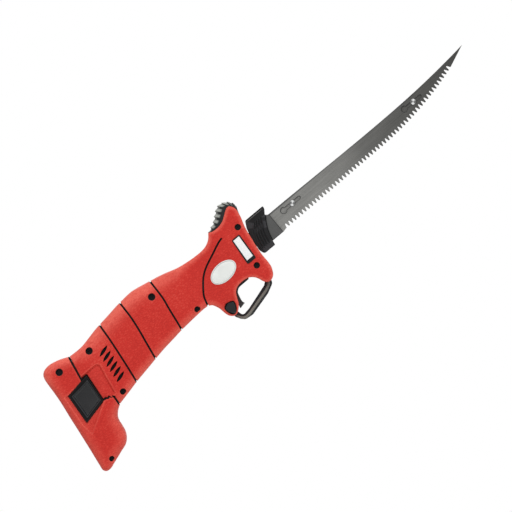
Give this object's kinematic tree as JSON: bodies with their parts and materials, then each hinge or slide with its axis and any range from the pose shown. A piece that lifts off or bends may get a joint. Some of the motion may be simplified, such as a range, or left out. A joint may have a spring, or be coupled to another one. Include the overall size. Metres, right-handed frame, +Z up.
{
  "type": "cordless serrated knife",
  "caption": "Cordless serrated knife: red soft-grip handle with finger opening, trigger, ribbed thumb rest, slide-out battery foot and paired reciprocating serrated blades.",
  "frame": {"origin": "middle of the nose face, on the blades' axis (blade socket mouth)", "axes": "+X along the blades to their tips, +Z up to the spine and thumb rest side, +Y across the handle to the user's left when the blades point forward"},
  "size_m": [0.5071, 0.05, 0.1228],
  "materials": {
    "red_grip": "matte leather-textured soft overmould",
    "black_shell": "fine matte",
    "black_rubber": "matte ribbed",
    "badge": "satin",
    "plate": "satin",
    "screw_steel": "black zinc",
    "blade_steel": "dark brushed",
    "bright_steel": "turned",
    "motor_steel": "drawn",
    "magnet": "sintered",
    "copper": "copper",
    "nylon": "natural nylon",
    "board": "board green",
    "cell": "shrink sleeve",
    "lead": "wire sleeve"
  },
  "bodies": {
    "handle": {"housing_right": "black_shell", "housing_left": "black_shell", "grip_skin_right": "red_grip", "grip_skin_left": "red_grip", "thumb_rest": "black_rubber", "trigger_guard": "black_shell", "badge_right": "badge", "badge_left": "badge", "side_plate_right": "plate", "side_plate_left": "plate", "housing_screws": "screw_steel", "motor_can": "motor_steel", "motor_magnets": "magnet", "motor_end_bell": "nylon", "brushes": "magnet", "gearbox_frame": "nylon", "blade_guide": "nylon", "guide_rods": "bright_steel", "switch_body": "black_shell", "control_board": "board", "battery_contacts": "copper", "wiring": "lead"},
    "rotor": {"rotor_shaft": "bright_steel", "armature": "motor_steel", "armature_windings": "copper", "commutator": "copper", "cooling_fan": "nylon", "worm": "bright_steel"},
    "crank": {"worm_wheel": "nylon", "crankshaft": "bright_steel"},
    "right_drive": {"right_carrier": "nylon", "right_detent": "bright_steel"},
    "left_drive": {"left_carrier": "nylon", "left_detent": "bright_steel"},
    "right_cutter": {"right_blade": "blade_steel", "right_blade_grip": "black_shell"},
    "left_cutter": {"left_blade": "blade_steel", "left_blade_grip": "black_shell", "front_rivet": "bright_steel", "rear_rivet": "bright_steel"},
    "trigger_lever": {"trigger": "black_shell", "trigger_spring": "bright_steel"},
    "switch_pin": {"switch_plunger": "nylon"},
    "safety": {"safety_bolt": "black_rubber"},
    "battery": {"battery_case": "black_shell", "battery_skin_right": "red_grip", "battery_skin_left": "red_grip", "battery_cell_right": "cell", "battery_cell_left": "cell", "battery_terminals": "copper", "battery_screws": "screw_steel", "button_spring_right": "bright_steel", "button_spring_left": "bright_steel"},
    "button_right": {"release_button_right": "black_rubber"},
    "button_left": {"release_button_left": "black_rubber"}
  },
  "joints": [
    {"name": "motor_spin", "type": "hinge", "parent": "handle", "child": "rotor", "pos_m": [-0.1, 0, 0.006], "axis": [1, 0, 0], "continuous": true},
    {"name": "crank_spin", "type": "hinge", "parent": "handle", "child": "crank", "pos_m": [-0.058, 0, -0.008], "axis": [0, 1, 0], "continuous": true},
    {"name": "right_stroke", "type": "slide", "parent": "handle", "child": "right_drive", "axis": [1, 0, 0], "range_m": [-0.004, 0.004]},
    {"name": "left_stroke", "type": "slide", "parent": "handle", "child": "left_drive", "axis": [1, 0, 0], "range_m": [-0.004, 0.004]},
    {"name": "right_blade_release", "type": "slide", "parent": "right_drive", "child": "right_cutter", "axis": [1, 0, 0], "range_m": [0, 0.045]},
    {"name": "left_blade_release", "type": "slide", "parent": "left_drive", "child": "left_cutter", "axis": [1, 0, 0], "range_m": [0, 0.045]},
    {"name": "trigger_pull", "type": "slide", "parent": "handle", "child": "trigger_lever", "axis": [-1, 0, 0], "range_m": [0, 0.003], "deforming": ["trigger_spring"]},
    {"name": "switch_press", "type": "slide", "parent": "handle", "child": "switch_pin", "axis": [-1, 0, 0], "range_m": [0, 0.003]},
    {"name": "safety_push", "type": "slide", "parent": "handle", "child": "safety", "axis": [0, 1, 0], "range_m": [0, 0.0035]},
    {"name": "battery_slide", "type": "slide", "parent": "handle", "child": "battery", "axis": [-1, 0, 0], "range_m": [0, 0.045]},
    {"name": "right_button_press", "type": "slide", "parent": "battery", "child": "button_right", "axis": [0, 1, 0], "range_m": [0, 0.0018], "deforming": ["button_spring_right"]},
    {"name": "left_button_press", "type": "slide", "parent": "battery", "child": "button_left", "axis": [0, -1, 0], "range_m": [0, 0.0018], "deforming": ["button_spring_left"]}
  ],
  "couplings": [
    {"joint": "crank_spin", "follows": "motor_spin", "ratio": -0.05},
    {"joint": "left_stroke", "follows": "right_stroke", "ratio": -1},
    {"joint": "left_blade_release", "follows": "right_blade_release", "ratio": 1},
    {"joint": "switch_press", "follows": "trigger_pull", "ratio": 1}
  ]
}
